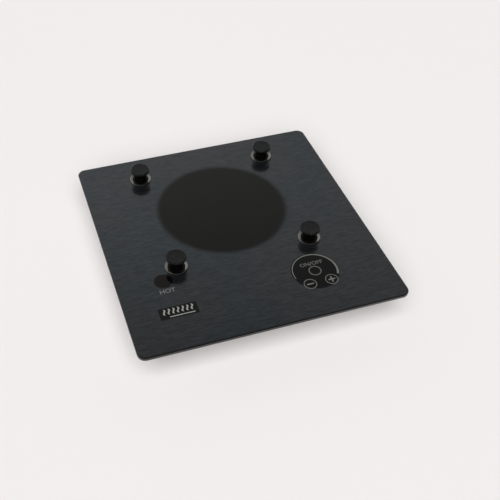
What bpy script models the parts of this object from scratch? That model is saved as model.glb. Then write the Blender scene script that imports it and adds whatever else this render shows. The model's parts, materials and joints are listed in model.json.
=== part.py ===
"""Drop-in single-burner hot plate: a ceramic glass top on a sheet-steel pan.

Metres, +Z up, front towards -Y. The origin is at the centre of the base, straight below the middle of
the glass. Everything under the glass lies inside a pan that is set well back from the front edge.
"""

import math

import bmesh
import bpy
from mathutils import Vector

MM = 0.001
GAP = 0.3 * MM  # clearance kept between pieces that touch on the real object

# Glass top
GLASS_WIDTH = 305 * MM
GLASS_DEPTH = 315 * MM
GLASS_THICKNESS = 4 * MM
GLASS_CORNER = 9.5 * MM
GLASS_EDGE_BEVEL = 0.6 * MM
GLASS_UNDER_Z = 48 * MM
GLASS_TOP_Z = GLASS_UNDER_Z + GLASS_THICKNESS

# Seal between the glass rim and the worktop
GASKET_INSET = 2 * MM
GASKET_WIDTH = 12 * MM
GASKET_THICKNESS = 2 * MM

# Burner zone, printed on the glass, and the four posts around it
BURNER_Y = 37.5 * MM
BURNER_RADIUS = 77.5 * MM
PRINT_THICKNESS = 0.05 * MM
POST_REACH = 80 * MM  # from the burner's centre to a post, along X and along Y
POST_PLACES = {"front_left": (-1, -1), "front_right": (1, -1), "back_left": (-1, 1), "back_right": (1, 1)}
STUD_RADIUS = 3 * MM
STUD_BORE = STUD_RADIUS + GAP
SOCKET_RADIUS = 5 * MM
COLLAR_BORE = SOCKET_RADIUS + GAP
GLASS_HOLE = 5.6 * MM

# Pan
SHEET = 1 * MM
PAN_HALF_WIDTH = 130 * MM
PAN_FRONT = -119.5 * MM
PAN_BACK = 135.5 * MM
PAN_CORNER = 6 * MM
PAN_BEND = 2 * MM
PAN_FLANGE = 7 * MM
FRAME_TOP_Z = GLASS_UNDER_Z - GAP
PAN_TOP_Z = FRAME_TOP_Z - SHEET - GAP
FLOOR_Z = SHEET + GAP  # what stands on the pan's floor starts here

# Radiant element
DISH_RADIUS = 88 * MM
DISH_SHEET = 0.8 * MM
DISH_BOTTOM_Z = 23 * MM
INSULATION_WALL = 8 * MM
RIBBON_INNER = 12 * MM
RIBBON_OUTER = 72 * MM
RIBBON_PITCH = 8.5 * MM
RIBBON_THICKNESS = 1.2 * MM
RIBBON_HEIGHT = 5 * MM
LIMITER_Z = 43 * MM
LIMITER_RADIUS = 2.25 * MM

# Electronics, in front of the element
SHIELD_Y = -54 * MM
TOUCH_CENTRE = Vector((65.6, -94, 0)) * MM
TOUCH_PAD_PLACES = {"power": (65.6, -94), "minus": (52.8, -111.4), "plus": (78.2, -111.4)}
LAMP_PLACE = Vector((-99.9, -59.4, 0)) * MM
BOARD_THICKNESS = 1.6 * MM
POWER_BOARD = (-116 * MM, 10 * MM, -114 * MM, -62 * MM)
POWER_BOARD_Z = 9 * MM
PARTS_Z = POWER_BOARD_Z + BOARD_THICKNESS + GAP

# Supply entry in the back wall
ENTRY_X = -95 * MM
ENTRY_Z = 23 * MM
GLAND_RADIUS = 9 * MM
COVER_SCREW_REACH = 29 * MM

# Worktop clamps on the side walls. Their sizes across are distances out from the wall.
CLAMP_SCREW_Y = 1 * MM
CLAMP_SCREW_OUT = 8.5 * MM
CLAMP_SCREW_RADIUS = 2.5 * MM
CLAMP_LEG_Z = 16 * MM  # underside of the leg that the thumb screw runs in
CLAMP_SHEET = 1.5 * MM
CLAMP_NUT_HEIGHT = 3 * MM
CLAMP_TRAVEL = 10 * MM
LOCK_SCREW_Y = 17 * MM
LOCK_SCREW_Z = 32 * MM
LOCK_SCREW_RADIUS = 2 * MM

# Facets: how many flat sides stand for a full circle, or for a quarter turn
POST_SIDES = 20
DISH_SIDES = 40
SMALL_SIDES = 12
CORNER_STEPS = 4

MATERIALS = {
    # name: (colour, roughness, metallic)
    "ceramic_glass": ((0.035, 0.04, 0.045, 1), 0.12, 0.0),
    "seal_foam": ((0.03, 0.03, 0.03, 1), 0.9, 0.0),
    "galvanised_steel": ((0.55, 0.56, 0.57, 1), 0.45, 1.0),
    "black_rubber": ((0.02, 0.02, 0.02, 1), 0.55, 0.0),
    "chrome": ((0.8, 0.8, 0.8, 1), 0.08, 1.0),
    "stainless_steel": ((0.62, 0.62, 0.6, 1), 0.3, 1.0),
    "insulation_board": ((0.75, 0.73, 0.68, 1), 0.95, 0.0),
    "heater_alloy": ((0.3, 0.27, 0.25, 1), 0.5, 1.0),
    "white_ceramic": ((0.8, 0.78, 0.72, 1), 0.5, 0.0),
    "circuit_board": ((0.02, 0.16, 0.07, 1), 0.45, 0.0),
    "black_plastic": ((0.025, 0.025, 0.025, 1), 0.5, 0.0),
    "blue_plastic": ((0.03, 0.1, 0.35, 1), 0.4, 0.0),
    "aluminium": ((0.75, 0.75, 0.76, 1), 0.35, 1.0),
    "white_nylon": ((0.7, 0.69, 0.66, 1), 0.5, 0.0),
    "red_lens": ((0.5, 0.02, 0.015, 1), 0.2, 0.0),
    "grey_insulation": ((0.28, 0.28, 0.29, 1), 0.5, 0.0),
}


# ---- Outlines ----------------------------------------------------------------------------------


def rounded_rectangle(x0, x1, y0, y1, radius, z):
    """Points of a rounded rectangle in the plane at z, anticlockwise from above."""
    corners = (
        (x1 - radius, y1 - radius),
        (x0 + radius, y1 - radius),
        (x0 + radius, y0 + radius),
        (x1 - radius, y0 + radius),
    )
    points = []
    for quarter, (cx, cy) in enumerate(corners):
        for step in range(CORNER_STEPS + 1):
            angle = math.radians(90 * (quarter + step / CORNER_STEPS))
            points.append(Vector((cx + radius * math.cos(angle), cy + radius * math.sin(angle), z)))
    return points


def glass_outline(inset, z):
    """The glass's outline, drawn in by inset on every side."""
    half_width = GLASS_WIDTH / 2 - inset
    half_depth = GLASS_DEPTH / 2 - inset
    corner = max(GLASS_CORNER - inset, 1 * MM)
    return rounded_rectangle(-half_width, half_width, -half_depth, half_depth, corner, z)


def pan_outline(grow, z):
    """The pan's outer outline, moved out by grow, or in where grow is negative."""
    width = PAN_HALF_WIDTH + grow
    return rounded_rectangle(-width, width, PAN_FRONT - grow, PAN_BACK + grow, PAN_CORNER + grow, z)


def circle(radius, z, sides, centre=(0, 0)):
    turns = (2 * math.pi * step / sides for step in range(sides))
    return [Vector((centre[0] + radius * math.cos(t), centre[1] + radius * math.sin(t), z)) for t in turns]


def turned(profile, sides, centre=(0, 0)):
    """One circle for each (radius, z) of the profile."""
    return [circle(radius, z, sides, centre) for radius, z in profile]


def box(x0, x1, y0, y1, z0, z1):
    """A box as two rectangles."""
    corners = ((x1, y1), (x0, y1), (x0, y0), (x1, y0))
    return [[Vector((x, y, z)) for x, y in corners] for z in (z0, z1)]


def block(centre, size, z0):
    """A box on centre that stands at z0."""
    (cx, cy), (width, depth, height) = centre, size
    return box(cx - width / 2, cx + width / 2, cy - depth / 2, cy + depth / 2, z0, z0 + height)


def profile_along_x(outline, x0, x1):
    """Extrudes a list of (y, z) from x0 to x1."""
    return [[Vector((x, y, z)) for y, z in outline] for x in (x0, x1)]


def profile_along_y(outline, y0, y1):
    """Extrudes a list of (x, z) from y0 to y1."""
    return [[Vector((x, y, z)) for x, z in outline] for y in (y0, y1)]


def strip_outline(centreline, thickness):
    """The closed outline of a strip of that thickness along a bent centreline of (u, v) points."""
    sides = ([], [])
    last = len(centreline) - 1
    for i, point in enumerate(centreline):
        ahead = Vector(centreline[min(i + 1, last)]) - Vector(point)
        behind = Vector(point) - Vector(centreline[max(i - 1, 0)])
        ahead = ahead.normalized() if ahead.length else behind.normalized()
        behind = behind.normalized() if behind.length else ahead
        along = (ahead + behind).normalized()
        across = Vector((-along.y, along.x)) * thickness / 2 / max(along.dot(ahead), 0.5)
        sides[0].append(tuple(Vector(point) + across))
        sides[1].append(tuple(Vector(point) - across))
    return sides[0] + sides[1][::-1]


# ---- Objects -----------------------------------------------------------------------------------


def material(name):
    found = bpy.data.materials.get(name)
    if found:
        return found
    colour, roughness, metallic = MATERIALS[name]
    made = bpy.data.materials.new(name)
    made.use_nodes = True
    shader = made.node_tree.nodes["Principled BSDF"]
    shader.inputs["Base Color"].default_value = colour
    shader.inputs["Roughness"].default_value = roughness
    shader.inputs["Metallic"].default_value = metallic
    made.diffuse_color = colour
    return made


def add_loft(mesh, loops, ring=False):
    """Skins the loops in order. The two ends are capped, or in a ring the last loop joins the first."""
    rows = [[mesh.verts.new(point) for point in loop] for loop in loops]
    pairs = list(zip(rows, rows[1:] + rows[:1] if ring else rows[1:]))
    for lower, upper in pairs:
        for i in range(len(lower)):
            j = (i + 1) % len(lower)
            mesh.faces.new((lower[i], lower[j], upper[j], upper[i]))
    if not ring:
        mesh.faces.new(rows[0][::-1])
        mesh.faces.new(rows[-1])


def solid(name, finish, parts, ring=False, location=(0, 0, 0), rotation=(0, 0, 0)):
    """One object made of one lofted shape, or for a cutter of several that don't touch."""
    mesh = bmesh.new()
    for loops in parts:
        add_loft(mesh, loops, ring)
    bmesh.ops.recalc_face_normals(mesh, faces=mesh.faces)
    data = bpy.data.meshes.new(name)
    mesh.to_mesh(data)
    mesh.free()
    made = bpy.data.objects.new(name, data)
    bpy.context.scene.collection.objects.link(made)
    made.location = location
    made.rotation_euler = rotation
    if finish:
        data.materials.append(material(finish))
    data.shade_smooth()
    data.set_sharp_from_angle(angle=math.radians(30))
    return made


def combine(target, helper, operation):
    """Adds a helper shape to the target, or cuts it from the target."""
    helper.hide_render = True
    helper.display_type = "WIRE"
    modifier = target.modifiers.new(helper.name, "BOOLEAN")
    modifier.operation = operation
    modifier.object = helper


def cut(target, name, parts):
    combine(target, solid(name, None, parts), "DIFFERENCE")


def fuse(target, name, parts):
    combine(target, solid(name, None, parts), "UNION")


def cylinder_x(radius, x0, x1, y, z, sides=SMALL_SIDES):
    """A round bar along X."""
    return [[Vector((x, y + p.x, z + p.y)) for p in circle(radius, 0, sides)] for x in (x0, x1)]


def cylinder_y(radius, y0, y1, x, z, sides=SMALL_SIDES):
    """A round bar along Y."""
    return [[Vector((x + p.x, y, z + p.y)) for p in circle(radius, 0, sides)] for y in (y0, y1)]


def smooth_path(route, spacing):
    """Points about spacing apart on a Catmull-Rom curve through the route."""
    route = [Vector(point) for point in route]
    padded = [2 * route[0] - route[1], *route, 2 * route[-1] - route[-2]]
    points = [route[0]]
    for p0, p1, p2, p3 in zip(padded, padded[1:], padded[2:], padded[3:]):
        steps = max(1, round((p2 - p1).length / spacing))
        for step in range(1, steps + 1):
            t = step / steps
            a = 2 * p1 + (p2 - p0) * t
            b = (2 * p0 - 5 * p1 + 4 * p2 - p3) * t * t
            c = (3 * p1 - p0 - 3 * p2 + p3) * t**3
            points.append((a + b + c) / 2)
    return points


def lead(name, finish, route_mm, radius):
    """A wire or loom: a round tube along a smooth curve through the route."""
    points = smooth_path([Vector(p) * MM for p in route_mm], 5 * radius)
    curve = bpy.data.curves.new(name, "CURVE")
    curve.dimensions = "3D"
    curve.bevel_depth = radius
    curve.bevel_resolution = 1
    curve.use_fill_caps = True
    spline = curve.splines.new("POLY")
    spline.points.add(len(points) - 1)
    for place, point in zip(spline.points, points):
        place.co = (*point, 1)
    curve.materials.append(material(finish))
    made = bpy.data.objects.new(name, curve)
    bpy.context.scene.collection.objects.link(made)
    return made


# ---- Top ---------------------------------------------------------------------------------------


def post_centre(place):
    side_x, side_y = POST_PLACES[place]
    return Vector((side_x * POST_REACH, BURNER_Y + side_y * POST_REACH, GLASS_TOP_Z))


def glass_plate():
    levels = (
        (GLASS_EDGE_BEVEL, GLASS_UNDER_Z),
        (0, GLASS_UNDER_Z + GLASS_EDGE_BEVEL),
        (0, GLASS_TOP_Z - GLASS_EDGE_BEVEL),
        (GLASS_EDGE_BEVEL, GLASS_TOP_Z),
    )
    plate = solid("glass_plate", "ceramic_glass", [[glass_outline(inset, z) for inset, z in levels]])
    low, high = GLASS_UNDER_Z - 1 * MM, GLASS_TOP_Z + 1 * MM
    centres = [post_centre(place).to_2d() for place in POST_PLACES]
    holes = [turned([(GLASS_HOLE, low), (GLASS_HOLE, high)], POST_SIDES, c) for c in centres]
    cut(plate, "post_holes", holes)
    printed = [(BURNER_RADIUS, GLASS_TOP_Z - 1 * MM), (BURNER_RADIUS, GLASS_TOP_Z + PRINT_THICKNESS)]
    fuse(plate, "burner_zone", [turned(printed, DISH_SIDES, (0, BURNER_Y))])


def rim_gasket():
    high = GLASS_UNDER_Z - GAP
    low = high - GASKET_THICKNESS
    inner = GASKET_INSET + GASKET_WIDTH
    loops = [
        glass_outline(GASKET_INSET, low),
        glass_outline(GASKET_INSET, high),
        glass_outline(inner, high),
        glass_outline(inner, low),
    ]
    solid("rim_gasket", "seal_foam", [loops], ring=True)


def post(place):
    """A lift-out post: rubber head on a steel stud, which drops through a chrome collar into a socket."""
    centre = post_centre(place)
    core, bore, sleeve, hole = (r / MM for r in (STUD_RADIUS, STUD_BORE, SOCKET_RADIUS, COLLAR_BORE))
    # Each profile is (radius, height above the glass) in millimetres.
    head = ((bore, 9), (bore, 1.8), (7.2, 1.8), (7.2, 8), (8.4, 10.9), (10.9, 13.1), (11.5, 13.9),
            (11.5, 15.6), (10.9, 16.5), (6, 16.9))  # fmt: skip
    stud = ((0.8 * core, -14), (core, -13.2), (core, 8.7))
    collar = ((13.2, 0.3), (13.2, 1.2), (12.8, 2), (12.2, 2.3), (10.4, 1.8), (9.2, 1.5), (hole, 1.5),
              (hole, 0.3))  # fmt: skip
    socket = ((bore, 1.2), (sleeve, 1.2), (sleeve, -4.3), (9, -4.3), (9, -6.3), (sleeve, -6.3),
              (sleeve, -18), (bore, -18))  # fmt: skip

    def turn(name, finish, profile, ring):
        loops = turned([(r * MM, z * MM) for r, z in profile], POST_SIDES)
        solid(f"post_{name}_{place}", finish, [loops], ring=ring, location=centre)

    turn("head", "black_rubber", head, False)
    turn("stud", "stainless_steel", stud, False)
    turn("collar", "chrome", collar, True)
    turn("socket", "stainless_steel", socket, True)


# ---- Pan ---------------------------------------------------------------------------------------


def vent_slots():
    """Cutters for the rows of cooling slots in the floor and high in the back wall."""
    slots = []
    for x in range(-104, 6, 12):
        slots.append(block((x * MM, -88 * MM), (4 * MM, 34 * MM, 4 * MM), -1.5 * MM))
    for x in range(-28, 110, 12):
        slots.append(block((x * MM, PAN_BACK), (5 * MM, 8 * MM, 20 * MM), 20 * MM))
    return slots


def board_bosses():
    """Pillars that hold the power board off the floor."""
    x0, x1, y0, y1 = POWER_BOARD
    inset = 5 * MM
    top = POWER_BOARD_Z - GAP
    centres = [(x, y) for x in (x0 + inset, x1 - inset) for y in (y0 + inset, y1 - inset)]
    return [turned([(3.5 * MM, SHEET / 2), (2.8 * MM, top)], SMALL_SIDES, c) for c in centres]


def mounting_frame():
    """Flat ring welded on the pan's walls. It carries the glass."""
    low, high = FRAME_TOP_Z - SHEET, FRAME_TOP_Z
    loops = [
        pan_outline(-SHEET, low),
        pan_outline(-SHEET, high),
        pan_outline(PAN_FLANGE, high),
        pan_outline(PAN_FLANGE, low),
    ]
    solid("mounting_frame", "galvanised_steel", [loops], ring=True)


def chassis_pan():
    """Floor and four walls."""
    loops = [
        pan_outline(-SHEET - PAN_BEND, SHEET),
        pan_outline(-SHEET, SHEET + PAN_BEND),
        pan_outline(-SHEET, PAN_TOP_Z),
        pan_outline(0, PAN_TOP_Z),
        pan_outline(0, PAN_BEND),
        pan_outline(-PAN_BEND, 0),
    ]
    pan = solid("chassis_pan", "galvanised_steel", [loops])
    cut(pan, "vents", vent_slots())
    window = block((ENTRY_X, PAN_BACK), (50 * MM, 6 * MM, 27 * MM), ENTRY_Z - 13.5 * MM)
    reach = (-COVER_SCREW_REACH, COVER_SCREW_REACH)
    back = (PAN_BACK - 4 * MM, PAN_BACK + 2 * MM)
    screws = [cylinder_y(1.8 * MM, *back, ENTRY_X + r, ENTRY_Z) for r in reach]
    bore = LOCK_SCREW_RADIUS + GAP
    locks = [cylinder_x(bore, *outward(s, -4 * MM, 2 * MM), LOCK_SCREW_Y, LOCK_SCREW_Z) for s in (-1, 1)]
    cut(pan, "wall_holes", [window, *screws, *locks])
    fuse(pan, "bosses", board_bosses())


def heat_shield():
    """A bent sheet that keeps the element's heat off the electronics."""
    foot = 10 * MM
    low, high = FLOOR_Z, FRAME_TOP_Z - 2 * MM
    front = SHIELD_Y
    back = SHIELD_Y + SHEET
    outline = (
        (front - foot, low),
        (back, low),
        (back, high),
        (front, high),
        (front, low + SHEET),
        (front - foot, low + SHEET),
    )
    reach = PAN_HALF_WIDTH - SHEET - PAN_BEND - GAP
    shield = solid("heat_shield", "galvanised_steel", [profile_along_x(outline, -reach, reach)])
    # Two notches over the board's rear bosses, and two openings for wires.
    notches = [block((x * MM, SHIELD_Y - 6 * MM), (16 * MM, 14 * MM, 20 * MM), 0) for x in (-112, 4)]
    widths = {-96: 12, 36: 14}
    holes = [block((x * MM, SHIELD_Y), (w * MM, 6 * MM, 12 * MM), 12 * MM) for x, w in widths.items()]
    cut(shield, "shield_openings", notches + holes)


def service_cover():
    """Plate over the window in the back wall. It carries the cable gland."""
    y0 = PAN_BACK + GAP
    y1 = y0 + 1.2 * MM
    plate = block_y((ENTRY_X, ENTRY_Z), 70 * MM, 36 * MM, y0, y1)
    cover = solid("service_cover", "galvanised_steel", [plate])
    beyond = (y0 - 2 * MM, y1 + 2 * MM)
    screws = {"left": ENTRY_X - COVER_SCREW_REACH, "right": ENTRY_X + COVER_SCREW_REACH}
    holes = [cylinder_y(GLAND_RADIUS + GAP, *beyond, ENTRY_X, ENTRY_Z, POST_SIDES)]
    holes += [cylinder_y(1.8 * MM, *beyond, x, ENTRY_Z) for x in screws.values()]
    cut(cover, "cover_holes", holes)
    for side, x in screws.items():
        cover_screw(f"cover_screw_{side}", x, y1 + GAP)


def block_y(centre, width, height, y0, y1):
    """A plate across Y, centred on (x, z)."""
    x, z = centre
    return box(x - width / 2, x + width / 2, y0, y1, z - height / 2, z + height / 2)


def cover_screw(name, x, head_y):
    """A pan-head screw along Y, its head against the cover."""
    # (radius, distance from the head's underside) in millimetres; the head points to +Y.
    profile = ((1.1, -8), (1.5, -7.4), (1.5, 0), (3, 0), (3, 1.2), (1.8, 2.1))
    loops = turned([(r * MM, z * MM) for r, z in profile], SMALL_SIDES)
    quarter = -math.pi / 2
    solid(name, "stainless_steel", [loops], location=(x, head_y, ENTRY_Z), rotation=(quarter, 0, 0))


def cable_gland():
    """Bushing that a supply cable would enter by, with its back nut."""
    flange = PAN_BACK + 1.5 * MM + 2 * GAP
    bore = 5.5 * MM
    # (radius, y) from the inner end of the thread round to the bore's outer mouth.
    profile = (
        (bore, -11 * MM),
        (GLAND_RADIUS, -11 * MM),
        (GLAND_RADIUS, 0),
        (13 * MM, 0),
        (13 * MM, 4 * MM),
        (9.5 * MM, 5 * MM),
        (8.5 * MM, 11 * MM),
        (bore + 0.5 * MM, 11.5 * MM),
        (bore, 10.5 * MM),
    )
    nut_bore = GLAND_RADIUS + GAP
    nut_profile = ((12 * MM, 0), (12 * MM, 5.5 * MM), (nut_bore, 5.5 * MM), (nut_bore, 0))

    def turn(name, outline, sides, y):
        place = {"location": (ENTRY_X, y, ENTRY_Z), "rotation": (-math.pi / 2, 0, 0)}
        solid(name, "black_plastic", [turned(outline, sides)], ring=True, **place)

    turn("cable_gland", profile, POST_SIDES, flange)
    turn("gland_nut", nut_profile, 24, PAN_BACK - 5.5 * MM)


# ---- Radiant element ---------------------------------------------------------------------------


def burner_hole():
    """Where the limiter's rod passes through the dish and its insulation."""
    return cylinder_x(LIMITER_RADIUS + 0.5 * MM, DISH_RADIUS - 14 * MM, DISH_RADIUS + 4 * MM, 0, LIMITER_Z)


def element_dish():
    inner = DISH_RADIUS - DISH_SHEET
    rim = GLASS_UNDER_Z - 1.2 * MM
    profile = (
        (inner, DISH_BOTTOM_Z + DISH_SHEET),
        (inner, rim),
        (DISH_RADIUS, rim),
        (DISH_RADIUS, DISH_BOTTOM_Z),
    )
    burner = (0, BURNER_Y, 0)
    dish = solid("element_dish", "galvanised_steel", [turned(profile, DISH_SIDES)], location=burner)
    helper = solid("dish_hole", None, [burner_hole()], location=burner)
    combine(dish, helper, "DIFFERENCE")

    outer = inner - GAP
    low = DISH_BOTTOM_Z + DISH_SHEET + GAP
    floor = low + 10 * MM
    wall = outer - INSULATION_WALL
    rim = GLASS_UNDER_Z - GAP
    profile = ((wall, floor), (wall, rim), (outer, rim), (outer, low))
    cup = solid("insulation_cup", "insulation_board", [turned(profile, DISH_SIDES)], location=burner)
    helper = solid("cup_hole", None, [burner_hole()], location=burner)
    combine(cup, helper, "DIFFERENCE")
    heating_ribbon(floor + GAP)


def heating_ribbon(low):
    """A flat strip on edge, wound as a spiral on the insulation."""
    turns = (RIBBON_OUTER - RIBBON_INNER) / RIBBON_PITCH
    steps = round(turns * 26)
    loops = []
    for step in range(steps + 1):
        angle = 2 * math.pi * turns * step / steps
        radius = RIBBON_INNER + (RIBBON_OUTER - RIBBON_INNER) * step / steps
        out = Vector((math.cos(angle), math.sin(angle), 0))
        near = out * (radius - RIBBON_THICKNESS / 2)
        far = out * (radius + RIBBON_THICKNESS / 2)
        top = Vector((0, 0, RIBBON_HEIGHT))
        loops.append([near, far, far + top, near + top])
    solid("heating_ribbon", "heater_alloy", [loops], location=(0, BURNER_Y, low))


def limiter():
    """Over-temperature limiter: a rod across the element and its switch head outside the dish."""
    x0, x1 = -30 * MM, DISH_RADIUS + 2 * MM
    solid("limiter_rod", "white_ceramic", [cylinder_x(LIMITER_RADIUS, x0, x1, BURNER_Y, LIMITER_Z)])
    low = 30 * MM
    centre_x = x1 + GAP + 9 * MM
    body = block((centre_x, BURNER_Y), (18 * MM, 20 * MM, 16.5 * MM), low)
    head = solid("limiter_head", "white_ceramic", [body])
    places = [(centre_x + dx * MM, BURNER_Y - 11 * MM) for dx in (-4, 4)]
    tags = [block(place, (1 * MM, 8 * MM, 6 * MM), low + 4 * MM) for place in places]
    fuse(head, "limiter_tags", tags)


def element_terminal_block():
    x1 = -(DISH_RADIUS + GAP)
    low = 28 * MM
    shape = box(x1 - 15 * MM, x1, BURNER_Y - 13 * MM, BURNER_Y + 13 * MM, low, low + 12 * MM)
    body = solid("element_terminal_block", "white_ceramic", [shape])
    places = [(x1 - 8 * MM, BURNER_Y + dy * MM) for dy in (-7, 7)]
    tags = [block(place, (6 * MM, 1 * MM, 8 * MM), low - 5 * MM) for place in places]
    fuse(body, "element_tags", tags)


def element_support():
    """A strap across the pan, and two leaf springs that press the dish up against the glass."""
    thickness = 1.2 * MM
    half = 12 * MM
    foot_z = FLOOR_Z + thickness / 2
    deck_z = 13 * MM
    reach = PAN_HALF_WIDTH - SHEET - PAN_BEND - GAP
    path = [(-reach, foot_z), (-reach + 14 * MM, foot_z), (-reach + 22 * MM, deck_z)]
    path += [(-x, z) for x, z in path[::-1]]
    outline = strip_outline(path, thickness)
    strap = profile_along_y(outline, BURNER_Y - half, BURNER_Y + half)
    solid("element_bracket", "galvanised_steel", [strap])

    blade = 0.8 * MM
    low = deck_z + thickness / 2 + GAP + blade / 2
    rise = DISH_BOTTOM_Z - GAP - blade / 2 - low
    span = 30 * MM
    for side, name in ((-1, "left"), (1, "right")):
        centre_x = side * 42 * MM
        steps = 10
        arch = []
        for step in range(steps + 1):
            t = 2 * step / steps - 1
            arch.append((centre_x + span * t, low + rise * math.cos(math.pi / 2 * t) ** 2))
        loops = profile_along_y(strip_outline(arch, blade), BURNER_Y - 8 * MM, BURNER_Y + 8 * MM)
        solid(f"element_spring_{name}", "stainless_steel", [loops])


# ---- Electronics -------------------------------------------------------------------------------


def touch_controls():
    """Touch board on a plastic stand, with a soft pad that couples each key to the glass."""
    board_z = 38.3 * MM
    x0, x1 = TOUCH_CENTRE.x - 29 * MM, TOUCH_CENTRE.x + 29 * MM
    y0, y1 = PAN_FRONT + SHEET + 1 * MM, TOUCH_CENTRE.y + 26 * MM
    solid("touch_board", "circuit_board", [box(x0, x1, y0, y1, board_z, board_z + BOARD_THICKNESS)])
    top = board_z - GAP
    bar = 5 * MM
    under = top - 3 * MM
    frame = [
        box(x0 + inset, x1 - inset, y0 + inset, y1 - inset, z, z)[0]
        for inset, z in ((0, under), (0, top), (bar, top), (bar, under))
    ]
    stand = solid("touch_stand", "black_plastic", [frame], ring=True)
    floor = FLOOR_Z + PAN_BEND
    legs = [
        block((x, y), (bar, bar, top - 1 * MM - floor), floor)
        for x in (x0 + bar / 2 + 0.2 * MM, x1 - bar / 2 - 0.2 * MM)
        for y in (y0 + bar / 2 + 0.2 * MM, y1 - bar / 2 - 0.2 * MM)
    ]
    fuse(stand, "stand_legs", legs)
    low, high = board_z + BOARD_THICKNESS + GAP, GLASS_UNDER_Z - GAP
    profile = ((3.5 * MM, low), (4 * MM, low + 1 * MM), (4 * MM, high))
    for key, (x, y) in TOUCH_PAD_PLACES.items():
        loops = turned(profile, SMALL_SIDES, (x * MM, y * MM))
        solid(f"touch_pad_{key}", "grey_insulation", [loops])


def hot_indicator():
    """Lamp under the window in the glass, on a holder fixed to the heat shield."""
    y1 = SHIELD_Y - GAP
    x = LAMP_PLACE.x
    low, high = 32 * MM, 41 * MM
    solid("lamp_holder", "black_plastic", [box(x - 8 * MM, x + 8 * MM, y1 - 12 * MM, y1, low, high)])
    profile = [(3 * MM, high + GAP), (3 * MM, high + 1.3 * MM), (2.5 * MM, high + 1.3 * MM)]
    profile += [(2.5 * MM, high + 3.5 * MM), (1.9 * MM, high + 5 * MM), (0.8 * MM, high + 5.9 * MM)]
    solid("hot_lamp", "red_lens", [turned(profile, SMALL_SIDES, LAMP_PLACE.to_2d())])


def power_electronics():
    """Board with the parts that switch the element."""
    board = box(*POWER_BOARD, POWER_BOARD_Z, POWER_BOARD_Z + BOARD_THICKNESS)
    solid("power_board", "circuit_board", [board])

    def on_board(x, y, width, depth, height, rise=0):
        """A block on the board, from sizes in millimetres."""
        return block((x * MM, y * MM), (width * MM, depth * MM, height * MM), PARTS_Z + rise * MM)

    solid("relay", "blue_plastic", [on_board(-92, -76, 30, 13, 16)])
    solid("capacitor", "grey_insulation", [on_board(-92, -99, 20, 9, 14)])
    core = solid("transformer", "black_plastic", [on_board(-50, -90, 34, 18, 24)])
    fuse(core, "winding", [on_board(-50, -90, 22, 30, 18, rise=2)])
    sink = solid("heatsink", "aluminium", [on_board(-11, -90, 34, 26, 4)])
    fuse(sink, "fins", [on_board(-26 + 7.5 * i, -90, 2, 26, 21, rise=2) for i in range(5)])


def supply_terminal_block():
    low = FLOOR_Z + PAN_BEND
    x, y = -100 * MM, 104 * MM
    shape = block((x, y), (42 * MM, 18 * MM, 14 * MM), low)
    body = solid("supply_terminal_block", "white_ceramic", [shape])
    places = [(x + offset * MM, y) for offset in (-13, 0, 13)]
    cut(body, "ways", [block(place, (9 * MM, 10 * MM, 8 * MM), low + 8 * MM) for place in places])


def wiring():
    """Leads between the supply terminals, the board, the element and the touch board."""
    lead(
        "supply_loom",
        "grey_insulation",
        ((-113, 94.4, 8), (-115, 84, 7), (-119, 60, 6), (-119, 0, 6), (-116, -36, 7),
         (-112, -56, 15), (-103, -63, 18), (-98, -67.6, 18.5)),
        2.6 * MM,
    )  # fmt: skip
    lead(
        "element_lead_live",
        "black_rubber",
        ((-96.5, 30.5, 22.3), (-98, 26, 16), (-102, 10, 14), (-101, -30, 15), (-97, -50, 17),
         (-90, -61, 20), (-86, -67.6, 21)),
        1.5 * MM,
    )  # fmt: skip
    lead(
        "element_lead_neutral",
        "black_rubber",
        ((103.3, 21.5, 36), (104, 14, 33), (106, 0, 22), (98, -22, 12), (70, -42, 12), (40, -51, 17.5),
         (28, -60, 18), (14, -72, 22), (8, -82, 24)),
        1.5 * MM,
    )  # fmt: skip
    bends = ((10.6, 13), (13, 13), (17, 15), (20, 20), (22, 28), (25, 36), (30, 39.1), (36.2, 39.1))
    path = [(x * MM, z * MM) for x, z in bends]
    strip = profile_along_y(strip_outline(path, 0.9 * MM), -104 * MM, -90 * MM)
    solid("touch_ribbon", "grey_insulation", [strip])


# ---- Worktop clamps ----------------------------------------------------------------------------


def outward(side, near, far):
    """Two distances out from the pan's side wall, as sorted x values."""
    return sorted((side * (PAN_HALF_WIDTH + near), side * (PAN_HALF_WIDTH + far)))


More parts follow.
